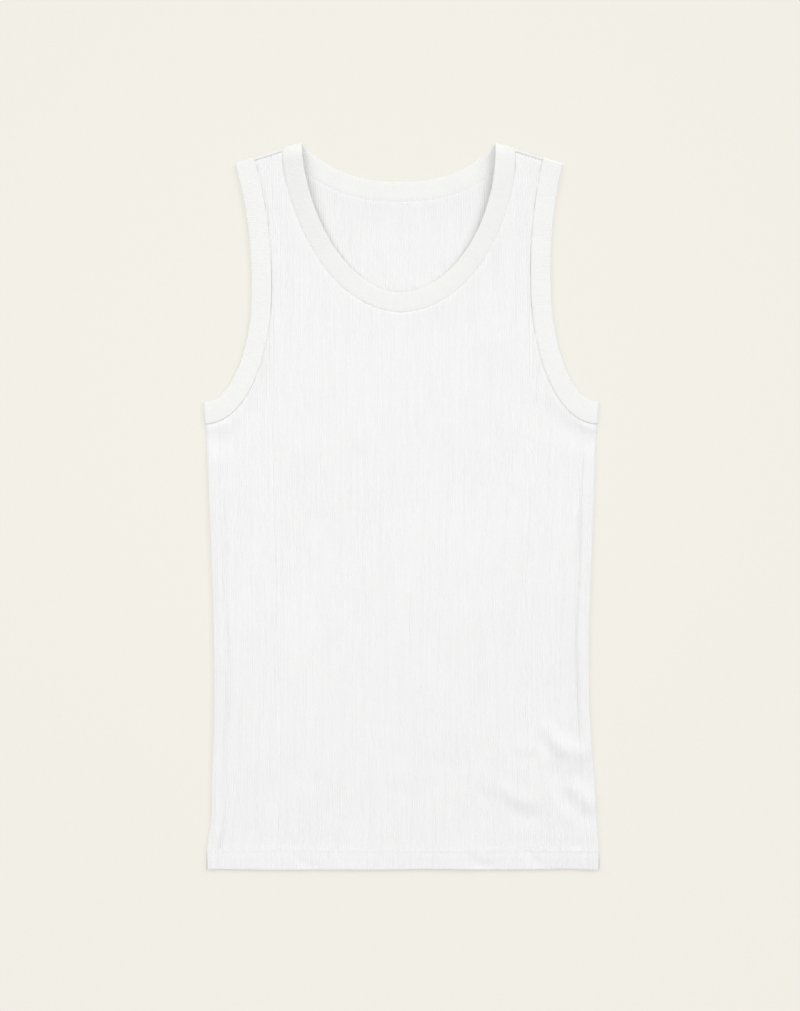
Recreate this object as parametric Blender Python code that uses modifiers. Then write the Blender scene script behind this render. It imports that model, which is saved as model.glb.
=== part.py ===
"""Ribbed tank top, laid flat and face up. Blender 4.5, metres, +Z up.

+Y runs from the hem to the neck, and the underside rests on z = 0. Sizes across the body are half
widths from the centre line, and sizes along it are drops below the shoulder point, where the neck
edge meets the shoulder fold. The back panel lies on the ground and the front panel lies on it. The
neck and armhole bands are closed rings that turn over the folds from the front to the back.
"""

import math

import bmesh
import bpy
import numpy as np

# Cloth: one layer of rib knit, and two layers pressed flat in the bands and the turned-up hem.
WALL = 0.0012
DOUBLE = 0.0022
GAP = 0.0003
COTTON_WHITE = (0.91, 0.91, 0.90, 1.0)
BAND_WHITE = (0.90, 0.91, 0.89, 1.0)
COTTON_ROUGHNESS = 0.9

# Driving sizes of the garment.
LENGTH = 0.724
BAND = 0.020
HEM = 0.018
HEM_STEP = 0.004
NECK_HALF = 0.0965
FRONT_NECK_DROP = 0.148
BACK_NECK_DROP = 0.0375
FRONT_NECK_POWER = 1.9
BACK_NECK_POWER = 2.5
SHOULDER_SLOPE = 0.318

# Armhole seam: a quarter ellipse from the underarm to its narrowest, then a power curve to the shoulder.
ARM_CENTRE_X = 0.196
ARM_NARROW_X = 0.1295
ARM_NARROW_DROP = 0.1465
ARM_DEPTH = 0.133
ARM_SHOULDER_X = 0.1437
ARM_POWER = 2.2
ARM_ANGLES = (87.8, 85.0, 79.0, 70.0, 58.0, 44.0, 29.0, 14.0, 0.0)
UNDERARM_LEAN = 0.2

# The sides: half width and sideways shift of the centre line at each drop.
SIDE_COLUMNS = ("drop", "half_width", "shift")
SIDE_ROWS = (
    (0.000, 0.1950, -0.0045),
    (0.150, 0.1950, -0.0015),
    (0.280, 0.1955, 0.0000),
    (0.330, 0.1935, -0.0004),
    (0.416, 0.1895, -0.0013),
    (0.500, 0.1882, -0.0016),
    (0.580, 0.1884, -0.0011),
    (0.636, 0.1912, 0.0000),
    (0.680, 0.1932, 0.0008),
    (0.704, 0.1964, 0.0000),
    (0.724, 0.1968, 0.0000),
)

# Heights. The back lies flat, and the front's inner face rests one gap above it.
REST = WALL + GAP
FOLD_RADIUS = (DOUBLE + GAP) / 2
FRONT_BAND_MID = DOUBLE * 1.5 + GAP
BACK_BAND_MID = DOUBLE / 2
SEAM_RISE_REACH = 0.024
SHOULDER_RISE_REACH = 0.080
LOFT = 0.0005
LOFT_WAVE = (0.21, 0.27)

# Neck band: height of its middle at the seam and at the free edge, from the centre to the shoulder.
NECK_LIFT_COLUMNS = ("turn", "seam_mid", "edge_mid")
NECK_LIFT_ROWS = (
    (0.00, 0.0029, 0.0030),
    (0.45, 0.0034, 0.0038),
    (0.75, 0.0038, 0.0046),
    (1.00, 0.0036, 0.0036),
)

# Side seam: its allowance, turned inside, lifts the front along the edge, which then rolls down.
SIDE_LIFT = 0.0014
HEM_SIDE_LIFT = 0.0010
ALLOWANCE = 0.0105
ALLOWANCE_FADE = 0.005

# The largest soft folds of the front: middle, half length and half width, direction and height.
FOLD_COLUMNS = ("across", "drop", "half_length", "half_width", "degrees", "height")
FOLD_ROWS = (
    (0.158, 0.632, 0.048, 0.016, -50.0, 0.0016),
    (0.108, 0.664, 0.038, 0.014, -22.0, 0.0013),
)

# Mesh stations.
BODY_ROWS = 11
UPPER_ROWS = 9
BACK_NECK_ROWS = 6
FOLD_STEPS = 4
ROLL_DEGREES = (45.0, 90.0)
ROW_BEND = 1.6
FRONT_COLUMNS = (0.0, 0.15, 0.30, 0.45, 0.60, 0.75, 0.87, 0.925, 0.955, 0.980, 1.0)
BACK_COLUMNS = (0.0, 0.2, 0.4, 0.6, 0.8, 0.93, 1.0)
BAND_CORNER = 0.0005

# The highest point is the neck band's outer face on the shoulder fold, and the lowest is the hem.
TOP_Y = (LENGTH - FOLD_RADIUS - DOUBLE / 2) / 2


def smooth_step(value):
    """0 below 0, 1 above 1, and a smooth S between them."""
    value = min(max(value, 0.0), 1.0)
    return value * value * (3.0 - 2.0 * value)


def from_table(rows, columns, name, at):
    """A column of a table at a place between its rows, with slopes that follow the neighbouring rows."""
    table = np.array(rows)
    places = table[:, 0]
    values = table[:, columns.index(name)]
    slopes = np.gradient(values, places)
    at = min(max(at, places[0]), places[-1])
    row = min(int(np.searchsorted(places, at, side="right")) - 1, len(places) - 2)
    span = places[row + 1] - places[row]
    t = (at - places[row]) / span
    start = (1 + 2 * t) * (1 - t) ** 2 * values[row] + t * (1 - t) ** 2 * span * slopes[row]
    end = t * t * (3 - 2 * t) * values[row + 1] + t * t * (t - 1) * span * slopes[row + 1]
    return float(start + end)


def side(drop):
    return from_table(SIDE_ROWS, SIDE_COLUMNS, "half_width", drop)


def shift(drop):
    return from_table(SIDE_ROWS, SIDE_COLUMNS, "shift", drop)


def unit(vector):
    return np.array(vector) / np.linalg.norm(vector)


SHOULDER_ALONG = unit((1.0, SHOULDER_SLOPE))
UNDERARM_ACROSS = unit((UNDERARM_LEAN, -1.0))


# Outlines. Each point is (half width, drop).


def front_neck_edge(turn):
    """Free edge of the front neckline, from the centre (0) to the shoulder (1), and its outward normal."""
    angle = turn * math.pi / 2
    power = 2.0 / FRONT_NECK_POWER
    x = NECK_HALF * math.sin(angle) ** power
    drop = FRONT_NECK_DROP * max(math.cos(angle), 0.0) ** power
    slope = FRONT_NECK_POWER - 1.0
    normal = unit(
        (
            (x / NECK_HALF) ** slope / NECK_HALF,
            (drop / FRONT_NECK_DROP) ** slope / FRONT_NECK_DROP,
        )
    )
    return np.array((x, drop)), normal


def back_neck_edge(turn):
    """Free edge of the back neckline, from the centre (0) to the shoulder (1), and its outward normal."""
    x = NECK_HALF * turn
    drop = BACK_NECK_DROP * (1.0 - turn**BACK_NECK_POWER)
    steepness = BACK_NECK_POWER * turn ** (BACK_NECK_POWER - 1.0) / NECK_HALF
    return np.array((x, drop)), unit((steepness, 1.0 / BACK_NECK_DROP))


def neck_section(edge, turn, width):
    """The neckline's free edge at a station, and the point that far across the band from it.

    The section is square to the edge, and turns into the shoulder fold's own line at the shoulder.
    """
    point, normal = edge(turn)
    near_shoulder = smooth_step((turn - 0.55) / 0.45)
    across = unit((1 - near_shoulder) * normal + near_shoulder * SHOULDER_ALONG)
    longer = 1.0 + near_shoulder * (math.hypot(1.0, SHOULDER_SLOPE) - 1.0)
    return point, point + across * width * longer


def armhole_stations():
    """Armhole seam points from the underarm to the shoulder, each with its normal away from the body."""
    found = []
    a = ARM_CENTRE_X - ARM_NARROW_X
    for degrees in ARM_ANGLES:
        angle = math.radians(degrees)
        point = (ARM_CENTRE_X - a * math.cos(angle), ARM_NARROW_DROP + ARM_DEPTH * math.sin(angle))
        found.append((np.array(point), unit((ARM_DEPTH * math.cos(angle), -a * math.sin(angle)))))
    shoulder_drop = (ARM_SHOULDER_X - NECK_HALF) * SHOULDER_SLOPE
    rise = ARM_NARROW_DROP - shoulder_drop
    widening = ARM_SHOULDER_X - ARM_NARROW_X
    for step in range(1, UPPER_ROWS + 1):
        t = step / UPPER_ROWS
        point = (ARM_NARROW_X + widening * t**ARM_POWER, ARM_NARROW_DROP - rise * t)
        lean = ARM_POWER * widening * t ** (ARM_POWER - 1.0) / rise
        found.append((np.array(point), unit((1.0, lean))))
    return found


def armhole_sections(width):
    """Pairs of seam point and the point that far out across the armhole band, underarm to shoulder."""
    stations = armhole_stations()
    sections = []
    for index, (point, normal) in enumerate(stations):
        near_underarm = smooth_step(1.0 - index / 5.0)
        near_shoulder = smooth_step((index - len(stations) + 4.0) / 3.0)
        square = 1.0 - near_underarm - near_shoulder
        across = square * normal + near_underarm * UNDERARM_ACROSS + near_shoulder * SHOULDER_ALONG
        across = unit(across)
        sections.append((point, point + across * width / float(across @ normal)))
    return sections


# Heights of the front.


def dense(points, count=12):
    """The points with more between them, for measuring the distance to a curve."""
    points = np.array(points)
    return np.concatenate([np.linspace(a, b, count, endpoint=False) for a, b in zip(points, points[1:])])


ARM_SEAM = dense([point for point, _ in armhole_stations()])
NECK_TURNS = [step / UPPER_ROWS for step in range(UPPER_ROWS + 1)]
NECK_SEAM = dense([neck_section(front_neck_edge, turn, BAND)[1] for turn in NECK_TURNS])


def nearest(curve, x, drop):
    """Distance from a point to a curve, and the curve's place there from 0 to 1."""
    away = np.hypot(curve[:, 0] - x, curve[:, 1] - drop)
    index = int(np.argmin(away))
    return float(away[index]), index / (len(curve) - 1)


def hem_share(drop):
    """1 on the doubled hem, 0 above the step where its turned-up layer ends."""
    return smooth_step((drop - (LENGTH - HEM - HEM_STEP)) / HEM_STEP)


def folds(across, drop):
    """Height that the front's soft folds add: each is a ridge that fades out along and across itself."""
    total = 0.0
    for row in FOLD_ROWS:
        fold = dict(zip(FOLD_COLUMNS, row))
        angle = math.radians(fold["degrees"])
        dx = across - fold["across"]
        dy = fold["drop"] - drop
        along = dx * math.cos(angle) + dy * math.sin(angle)
        beside = dy * math.cos(angle) - dx * math.sin(angle)
        shape = (along / fold["half_length"]) ** 2 + (beside / fold["half_width"]) ** 2
        total += fold["height"] * math.exp(-shape)
    return total


def front_under(x, drop, hand, edge_away):
    """Height of the front panel's inner face. hand is 1 or -1, and edge_away is the way to the side."""
    base = REST + (DOUBLE - WALL) * hem_share(drop)
    wave = math.sin(hand * x / LOFT_WAVE[0] * math.tau + 0.7) * math.cos(drop / LOFT_WAVE[1] * math.tau)
    loft = LOFT * (1.2 + wave) * (1.0 - hem_share(drop))
    inward = smooth_step(edge_away / 0.03) if drop > ARM_NARROW_DROP + ARM_DEPTH else 1.0
    height = base + (loft + folds(hand * x, drop)) * inward
    arm_away, _ = nearest(ARM_SEAM, x, drop)
    neck_away, neck_turn = nearest(NECK_SEAM, x, drop)
    seam_mid = from_table(NECK_LIFT_ROWS, NECK_LIFT_COLUMNS, "seam_mid", neck_turn)
    below_shoulder = drop - (x - NECK_HALF) * SHOULDER_SLOPE
    for target, nearness in (
        (FRONT_BAND_MID - WALL / 2, smooth_step(1.0 - arm_away / SEAM_RISE_REACH)),
        (seam_mid - WALL / 2, smooth_step(1.0 - neck_away / SEAM_RISE_REACH)),
        (FRONT_BAND_MID - WALL / 2, smooth_step(1.0 - below_shoulder / SHOULDER_RISE_REACH)),
    ):
        height = max(height, height + (target - height) * nearness)
    return height


def side_lift(drop):
    """How far the side seam's allowance lifts the front's inner face above the back."""
    return SIDE_LIFT + (HEM_SIDE_LIFT - SIDE_LIFT) * hem_share(drop)


# Meshes.


def place(hand, x, drop, z, up=0.0, out=0.0):
    """World point of a half width and drop. up and out are a fold's reach past the edge."""
    return (hand * (x + out) + shift(drop), TOP_Y - drop + up, z)


def material(name, colour):
    made = bpy.data.materials.new(name)
    made.use_nodes = True
    shader = made.node_tree.nodes["Principled BSDF"]
    shader.inputs["Base Color"].default_value = colour
    shader.inputs["Roughness"].default_value = COTTON_ROUGHNESS
    return made


def grid_object(name, colour, rows, closed=False, open_from=None):
    """An object from a grid primitive whose vertices are moved to rows of points.

    closed joins the last row to the first. open_from is the first row of a neck opening: from there
    on the faces between the two middle columns are taken out.
    """
    count = len(rows[0])
    bm = bmesh.new()
    bmesh.ops.create_grid(bm, x_segments=len(rows) - 1 + closed, y_segments=count - 1, size=0.5)
    lines = sorted(bm.verts, key=lambda v: (round(v.co.x, 5), round(v.co.y, 5)))
    station = {vertex: divmod(index, count) for index, vertex in enumerate(lines)}
    for vertex, (row, column) in station.items():
        vertex.co = rows[row % len(rows)][column]
    if open_from is not None:
        middle = {count // 2 - 1, count // 2}
        opening = []
        for face in bm.faces:
            in_opening = min(station[vertex][0] for vertex in face.verts) >= open_from
            if in_opening and {station[vertex][1] for vertex in face.verts} == middle:
                opening.append(face)
        bmesh.ops.delete(bm, geom=opening, context="FACES")
    bmesh.ops.remove_doubles(bm, verts=bm.verts, dist=1e-6)
    bmesh.ops.recalc_face_normals(bm, faces=bm.faces)
    mesh = bpy.data.meshes.new(name)
    bm.to_mesh(mesh)
    bm.free()
    obj = bpy.data.objects.new(name, mesh)
    obj.data.materials.append(material(name, colour))
    GARMENT.objects.link(obj)
    return obj


def face_up(obj):
    """Turns an open sheet so that its faces point up."""
    if sum(polygon.normal.z * polygon.area for polygon in obj.data.polygons) < 0:
        obj.data.flip_normals()


def thicken_panel(obj, hem_weights):
    """Gives a panel's sheet its wall, one layer thick and doubled where the hem is turned up."""
    face_up(obj)
    group = obj.vertex_groups.new(name="doubled")
    for vertex in obj.data.vertices:
        group.add([vertex.index], hem_weights(TOP_Y - vertex.co.y), "REPLACE")
    wall = obj.modifiers.new("wall", "SOLIDIFY")
    wall.thickness = DOUBLE
    wall.offset = 1.0
    wall.vertex_group = group.name
    wall.thickness_vertex_group = WALL / DOUBLE


def panel_rows(neck_path, columns, roll):
    """Plan rows of half a panel from hem to shoulder: lists of (half width, drop, way to the side)."""
    stations = armhole_stations()
    underarm = stations[0][0][1] + GAP * 2.2
    drops = [LENGTH, LENGTH - HEM, LENGTH - HEM - HEM_STEP]
    drops += list(np.linspace(LENGTH - HEM - HEM_STEP, underarm, BODY_ROWS + 1))[1:]
    rows = []
    for drop in drops:
        end = side(drop) - roll
        rows.append([(end * share, drop, end - end * share) for share in columns])
    for (point, normal), inner in zip(stations[1:], neck_path):
        outer = point - normal * GAP
        if len(rows) == len(drops) + len(neck_path) - 1:
            outer = np.array((ARM_SHOULDER_X - GAP, (ARM_SHOULDER_X - GAP - NECK_HALF) * SHOULDER_SLOPE))
        bend = ROW_BEND if inner[0] == 0.0 else 1.0
        line = []
        for share in columns:
            x = inner[0] + (outer[0] - inner[0]) * share
            drop = inner[1] + (outer[1] - inner[1]) * share**bend
            line.append((x, drop, math.hypot(outer[0] - x, outer[1] - drop)))
        rows.append(line)
    return rows, len(drops)


def front_neck_path():
    """Inner end of each front row above the underarm: up the centre line, then round the neck seam."""
    lower = len(ARM_ANGLES) - 1
    start = armhole_stations()[0][0][1]
    bottom = FRONT_NECK_DROP + BAND + GAP
    centre = [(0.0, start + (bottom - start) * (step / lower)) for step in range(1, lower + 1)]
    round_neck = [neck_section(front_neck_edge, turn, BAND + GAP)[1] for turn in NECK_TURNS[1:]]
    return centre + round_neck


def back_neck_path():
    """Inner end of each back row above the underarm: up the centre line, then round the neck seam."""
    total = len(ARM_ANGLES) - 1 + UPPER_ROWS - BACK_NECK_ROWS
    start = armhole_stations()[0][0][1]
    bottom = BACK_NECK_DROP + BAND + GAP
    centre = [(0.0, start + (bottom - start) * (step / total)) for step in range(1, total + 1)]
    turns = [step / BACK_NECK_ROWS for step in range(1, BACK_NECK_ROWS + 1)]
    return centre + [neck_section(back_neck_edge, turn, BAND + GAP)[1] for turn in turns]


def make_front_panel():
    """The front: a sheet resting on the back, lifted along its seams, rolled down at sides and shoulders."""
    roll = WALL + SIDE_LIFT
    plan, body_count = panel_rows(front_neck_path(), FRONT_COLUMNS, roll)
    shoulder_roll = FRONT_BAND_MID - WALL / 2 - REST
    halves = []
    for hand in (1, -1):
        rows = []
        for index, line in enumerate(plan):
            in_body = index < body_count
            rolls = index < body_count - 1
            lift = side_lift(line[0][1])
            points = []
            for x, drop, away in line:
                height = front_under(x, drop, hand, away)
                if in_body:
                    floor = REST + (DOUBLE - WALL) * hem_share(drop)
                    near_side = 1.0 - smooth_step((away - ALLOWANCE) / ALLOWANCE_FADE)
                    height = height + (floor + lift - height) * near_side
                points.append((x, drop, height))
            x, drop, height = points[-1]
            rolled = []
            for degrees in ROLL_DEGREES:
                angle = math.radians(degrees)
                sunk = lift * (1 - math.cos(angle)) if rolls else 0.0
                rolled.append((x + lift * math.sin(angle), drop, height - sunk))
            if not in_body:
                inner = np.array(points[-2])
                outer = np.array(points[-1])
                points[-1] = tuple(outer + (inner - outer) * 0.5)
                rolled = [tuple(outer + (inner - outer) * 0.25), tuple(outer)]
            rows.append([place(hand, *point) for point in points + rolled])
        shoulder = rows[-1]
        for degrees in ROLL_DEGREES:
            angle = math.radians(degrees)
            up = shoulder_roll * math.sin(angle)
            down = shoulder_roll * (1 - math.cos(angle))
            rows.append([(px, py + up, pz - down) for px, py, pz in shoulder])
        halves.append(rows)
    joined = [list(reversed(left)) + right for right, left in zip(*halves)]
    neck = body_count + len(ARM_ANGLES) - 2
    panel = grid_object("front_panel", COTTON_WHITE, joined, open_from=neck)
    thicken_panel(panel, hem_share)


def make_back_panel():
    """The back: flat on the ground, its inside showing in the neck opening."""
    plan, body_count = panel_rows(back_neck_path(), BACK_COLUMNS, 0.0)
    shoulder_reach = FRONT_BAND_MID - WALL / 2 - REST + WALL
    halves = []
    for hand in (1, -1):
        rows = [[place(hand, x, drop, 0.0) for x, drop, _ in line] for line in plan]
        rows.append([(px, py + shoulder_reach, pz) for px, py, pz in rows[-1]])
        halves.append(rows)
    joined = [list(reversed(left)) + right for right, left in zip(*halves)]
    neck = len(plan) - 1 - BACK_NECK_ROWS
    panel = grid_object("back_panel", COTTON_WHITE, joined, open_from=neck)
    thicken_panel(panel, hem_share)


def fold_stations(section, top, bottom, direction):
    """A band's stations round a fold, from the front layer down to the back layer."""
    radius = (top - bottom) / 2
    middle = (top + bottom) / 2
    found = []
    for step in range(1, FOLD_STEPS):
        degrees = 180.0 * step / FOLD_STEPS
        height = middle + radius * math.cos(math.radians(degrees))
        found.append((section, (height, height), degrees, direction))
    return found


def band_profile(width):
    """Section of a band: a flat bar with its corners taken off, as (way across, way out) points."""
    half = DOUBLE / 2
    cut = BAND_CORNER
    return (
        (0.0, cut - half),
        (0.0, half - cut),
        (cut, half),
        (width - cut, half),
        (width, half - cut),
        (width, cut - half),
        (width - cut, -half),
        (cut, -half),
    )


def band_ring(name, stations):
    """A closed ring of doubled cloth through stations of (hand, section, heights, degrees, direction).

    A section is its two ends in plan, and the heights are those of its middle at each end. The
    degrees turn its outer face from up (0) to down (180), round a fold that lies in the direction.
    """
    rows = []
    for hand, (near, far), (near_z, far_z), degrees, direction in stations:
        angle = math.radians(degrees)
        reach = FOLD_RADIUS * math.sin(angle)
        width = float(np.linalg.norm(far - near))
        line = []
        for across, outward in band_profile(width):
            share = across / width
            point = near + (far - near) * share
            away = reach + outward * math.sin(angle)
            z = near_z + (far_z - near_z) * share + outward * math.cos(angle)
            if direction == "up":
                line.append(place(hand, point[0], point[1], z, up=away))
            else:
                line.append(place(hand, point[0], point[1], z, out=away))
        rows.append(line + line[:1])
    grid_object(name, BAND_WHITE, rows, closed=True)


def make_neck_band():
    """Neck band: round the front neckline, over each shoulder fold and round the back neckline."""
    half = []
    for turn in NECK_TURNS:
        seam_mid = from_table(NECK_LIFT_ROWS, NECK_LIFT_COLUMNS, "seam_mid", turn)
        edge_mid = from_table(NECK_LIFT_ROWS, NECK_LIFT_COLUMNS, "edge_mid", turn)
        half.append((neck_section(front_neck_edge, turn, BAND), (edge_mid, seam_mid), 0.0, "up"))
    half += fold_stations(half[-1][0], FRONT_BAND_MID, BACK_BAND_MID, "up")
    for step in range(BACK_NECK_ROWS, -1, -1):
        section = neck_section(back_neck_edge, step / BACK_NECK_ROWS, BAND)
        half.append((section, (BACK_BAND_MID, BACK_BAND_MID), 180.0, "up"))
    right = [(1, *station) for station in half]
    left = [(-1, *station) for station in half[-2:0:-1]]
    band_ring("neck_binding", right + left)


def make_armhole_band(name, hand):
    """Armhole band: up the front, over the shoulder fold, down the back and round the underarm fold."""
    sections = armhole_sections(BAND)
    front = [(section, (FRONT_BAND_MID, FRONT_BAND_MID), 0.0, "up") for section in sections]
    over = fold_stations(sections[-1], FRONT_BAND_MID, BACK_BAND_MID, "up")
    back = [(section, (BACK_BAND_MID, BACK_BAND_MID), 180.0, "up") for section in sections[::-1]]
    under = fold_stations(sections[0], FRONT_BAND_MID, BACK_BAND_MID, "out")[::-1]
    band_ring(name, [(hand, *station) for station in front + over + back + under])


for old in list(bpy.data.objects):
    bpy.data.objects.remove(old, do_unlink=True)
GARMENT = bpy.data.collections.new("ribbed_tank_top")
bpy.context.scene.collection.children.link(GARMENT)

make_back_panel()
make_front_panel()
make_neck_band()
make_armhole_band("armhole_binding_right", 1)
make_armhole_band("armhole_binding_left", -1)
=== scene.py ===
import math

import bpy
import numpy as np
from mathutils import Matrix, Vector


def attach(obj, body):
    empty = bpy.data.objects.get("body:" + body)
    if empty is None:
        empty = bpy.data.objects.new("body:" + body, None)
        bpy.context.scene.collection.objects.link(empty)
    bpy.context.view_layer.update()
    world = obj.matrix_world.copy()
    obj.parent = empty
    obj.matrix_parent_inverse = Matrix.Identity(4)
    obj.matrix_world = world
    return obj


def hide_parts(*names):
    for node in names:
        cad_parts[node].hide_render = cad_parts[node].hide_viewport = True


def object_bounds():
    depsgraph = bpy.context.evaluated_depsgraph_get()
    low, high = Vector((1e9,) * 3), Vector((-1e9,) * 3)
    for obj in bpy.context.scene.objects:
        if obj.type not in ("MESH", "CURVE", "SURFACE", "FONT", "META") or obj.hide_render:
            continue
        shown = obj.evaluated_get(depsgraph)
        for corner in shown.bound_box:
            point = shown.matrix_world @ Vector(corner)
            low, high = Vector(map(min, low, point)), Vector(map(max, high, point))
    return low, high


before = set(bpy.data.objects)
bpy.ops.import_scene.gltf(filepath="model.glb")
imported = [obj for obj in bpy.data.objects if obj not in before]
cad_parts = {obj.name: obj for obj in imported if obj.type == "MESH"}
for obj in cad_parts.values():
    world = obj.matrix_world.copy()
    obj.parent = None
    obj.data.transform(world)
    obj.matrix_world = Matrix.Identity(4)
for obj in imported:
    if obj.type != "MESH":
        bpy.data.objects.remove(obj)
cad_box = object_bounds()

# Ribbed cotton tank top, laid flat and face up on a plain pale ground. Sizes are in metres.
#
# A place on the garment is given as across (from its centre line, positive to the right), drop (below
# the shoulder point, where the neck edge meets the shoulder fold) and height above the ground.


# Back: one layer of fine rib knit, cut with its ribs running from the hem to the neck, and lying
# flat on the ground under the front. Its hem is turned up inside and held by two rows of stitching.
# It shows in the neck opening.

NECK_FOLD_REACH = 0.0022  # of the neck band's fold, past the shoulder point
SHOULDER_Y = cad_box[1].y - NECK_FOLD_REACH
LENGTH = SHOULDER_Y - cad_box[0].y
RIB_PITCH = 0.0023
RIB_DEPTH = 0.00040
COURSE = 0.00105  # height of one row of loops
COLUMNS_PER_RIB = 3
CLOTH = 0.0006
NECK_HALF = 0.0965
SHOULDER_SLOPE = 0.318
BAND_WIDTH = 0.020
TUCK = 0.005  # how far a panel runs on under a band

SIDES = {
    "drop": np.array((0.0, 0.150, 0.280, 0.330, 0.416, 0.500, 0.580, 0.636, 0.680, 0.704, 0.724)),
    "half_width": np.array(
        (0.1950, 0.1950, 0.1955, 0.1935, 0.1895, 0.1882, 0.1884, 0.1912, 0.1932, 0.1962, 0.1966)
    ),
    "lean": np.array(
        (-0.0045, -0.0015, -0.0018, -0.0018, -0.0016, -0.0016, -0.0011, 0.0, 0.0006, 0.0, 0.0)
    ),
}
UNDERARM = 0.280
UNDERARM_HALF = SIDES["half_width"][2]  # half of the width there


def smooth(value):
    """0 below 0, 1 above 1, and a smooth S between them."""
    value = np.clip(value, 0.0, 1.0)
    return value * value * (3.0 - 2.0 * value)


def along(table, column, at):
    """A table's column at any place along its first column: a cubic between each two rows.

    The cubic's slope at a row follows the rows on both sides of it.
    """
    places = next(iter(table.values()))
    values = table[column]
    slopes = np.gradient(values, places)
    at = np.clip(at, places[0], places[-1])
    row = np.clip(np.searchsorted(places, at, side="right") - 1, 0, len(places) - 2)
    span = places[row + 1] - places[row]
    t = (at - places[row]) / span
    start = (1 + 2 * t) * (1 - t) ** 2 * values[row] + t * (1 - t) ** 2 * span * slopes[row]
    end = t * t * (3 - 2 * t) * values[row + 1] + t * t * (t - 1) * span * slopes[row + 1]
    return start + end


def lay(across, drop, height):
    """World points: across plus the centre line's lean, and two slow waves of half a millimetre."""
    wave = 0.0004 * np.sin(drop * 31.0 + across * 9.0) + 0.0003 * np.sin(across * 40.0 - drop * 17.0)
    x = across + along(SIDES, "lean", drop) + wave
    return np.stack([x, SHOULDER_Y - drop, height], axis=-1)


def offset_line(line, distance):
    """A plan line moved sideways along its unit normals, which are also given."""
    way = np.gradient(line, axis=0)
    way /= np.linalg.norm(way, axis=1, keepdims=True)
    normal = np.stack([-way[:, 1], way[:, 0]], axis=1)
    return line + normal * distance, normal


def armhole_seam(count=420):
    """Armhole seam from underarm to shoulder: a quarter ellipse, then a power curve that leans out."""
    centre, narrow, narrow_drop, depth = 0.196, 0.1295, 0.1465, 0.133
    shoulder, power = 0.1437, 2.2
    angle = np.linspace(math.pi / 2, 0.0, count // 2)
    lower = np.stack(
        [centre - (centre - narrow) * np.cos(angle), narrow_drop + depth * np.sin(angle)], axis=1
    )
    rise = np.linspace(0.0, 1.0, count // 2)[1:]
    top = (shoulder - NECK_HALF) * SHOULDER_SLOPE
    upper = np.stack(
        [narrow + (shoulder - narrow) * rise**power, narrow_drop + (top - narrow_drop) * rise], axis=1
    )
    return np.concatenate([lower, upper])


def neck_edge(turn, drop, power_across, power_drop):
    """Free edge of a neckline from its centre (0) to the shoulder (1), with normals to the cloth.

    It is a superellipse of the neck's half width and a drop, whose two powers may differ.
    """
    angle = turn * math.pi / 2
    across = NECK_HALF * np.sin(angle) ** (2.0 / power_across)
    down = drop * (1.0 - (across / NECK_HALF) ** power_across) ** (1.0 / power_drop)
    steep = power_across * (across / NECK_HALF) ** (power_across - 1.0) / NECK_HALF
    flat = power_drop * (down / drop) ** (power_drop - 1.0) / drop
    normal = np.stack([steep, flat], axis=1)
    normal /= np.linalg.norm(normal, axis=1, keepdims=True)
    return np.stack([across, down], axis=1), normal


FRONT_NECK = {"drop": 0.148, "power_across": 1.9, "power_drop": 1.9}
BACK_NECK = {"drop": 0.0375, "power_across": 2.5, "power_drop": 1.0}


def neck_band_lines(neck, count=300):
    """Free edge and seam of a neckline, and the way across the band between them.

    The way across is the free edge's normal, which turns to the shoulder's line at the end.
    """
    turn = np.linspace(0.0, 1.0, count)
    free, normal = neck_edge(turn, **neck)
    near = smooth((turn - 0.55) / 0.45)[:, None]
    shoulder_way = np.array((1.0, SHOULDER_SLOPE))
    across = (1 - near) * normal + near * shoulder_way / np.linalg.norm(shoulder_way)
    across /= np.linalg.norm(across, axis=1, keepdims=True)
    width = BAND_WIDTH * (1 + near * (np.linalg.norm(shoulder_way) - 1))
    return free, free + across * width, across


def inside(points, line, normal):
    """How far plan points lie on the body's side of a line, and where along it the nearest point is.

    The line's normals point away from the body, and the distance is negative beyond the line. The
    place runs from 0 at the line's first point to 1 at its last.
    """
    flat = points.reshape(-1, 2)
    nearest = np.empty(len(flat), dtype=int)
    for start in range(0, len(flat), 8000):
        part = flat[start : start + 8000]
        gap = (part[:, None, 0] - line[None, :, 0]) ** 2 + (part[:, None, 1] - line[None, :, 1]) ** 2
        nearest[start : start + 8000] = gap.argmin(axis=1)
    away = flat - line[nearest]
    side = -(away * normal[nearest]).sum(axis=1)
    distance = np.where(side < 0, -1.0, 1.0) * np.linalg.norm(away, axis=1)
    return distance.reshape(points.shape[:-1]), nearest.reshape(points.shape[:-1]) / (len(line) - 1)


# Rows of a panel's grid crowd together where its form is fine: millimetres in from a band's seam, up
# from the hem, and down from the shoulder.
ROWS_AT_SEAM = np.array((-5.0, -2.5, -0.4, 0.0, 0.5, 1.1, 2.0, 4.0, 8.0, 14.0, 24.0))
ROWS_AT_HEM = np.array((0.0, 2.5, 5.5, 9.0, 12.0, 15.2, 16.3, 17.4, 19.0, 20.4, 21.4, 22.4))
ROWS_AT_SHOULDER = np.array((0.0, 0.6, 1.2, 1.8, 2.4, 3.0, 3.8, 6.0, 10.0, 17.0, 28.0))
BETWEEN_BANDS = 0.1478  # half of the width, at the shoulders, that the upper grid covers


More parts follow.
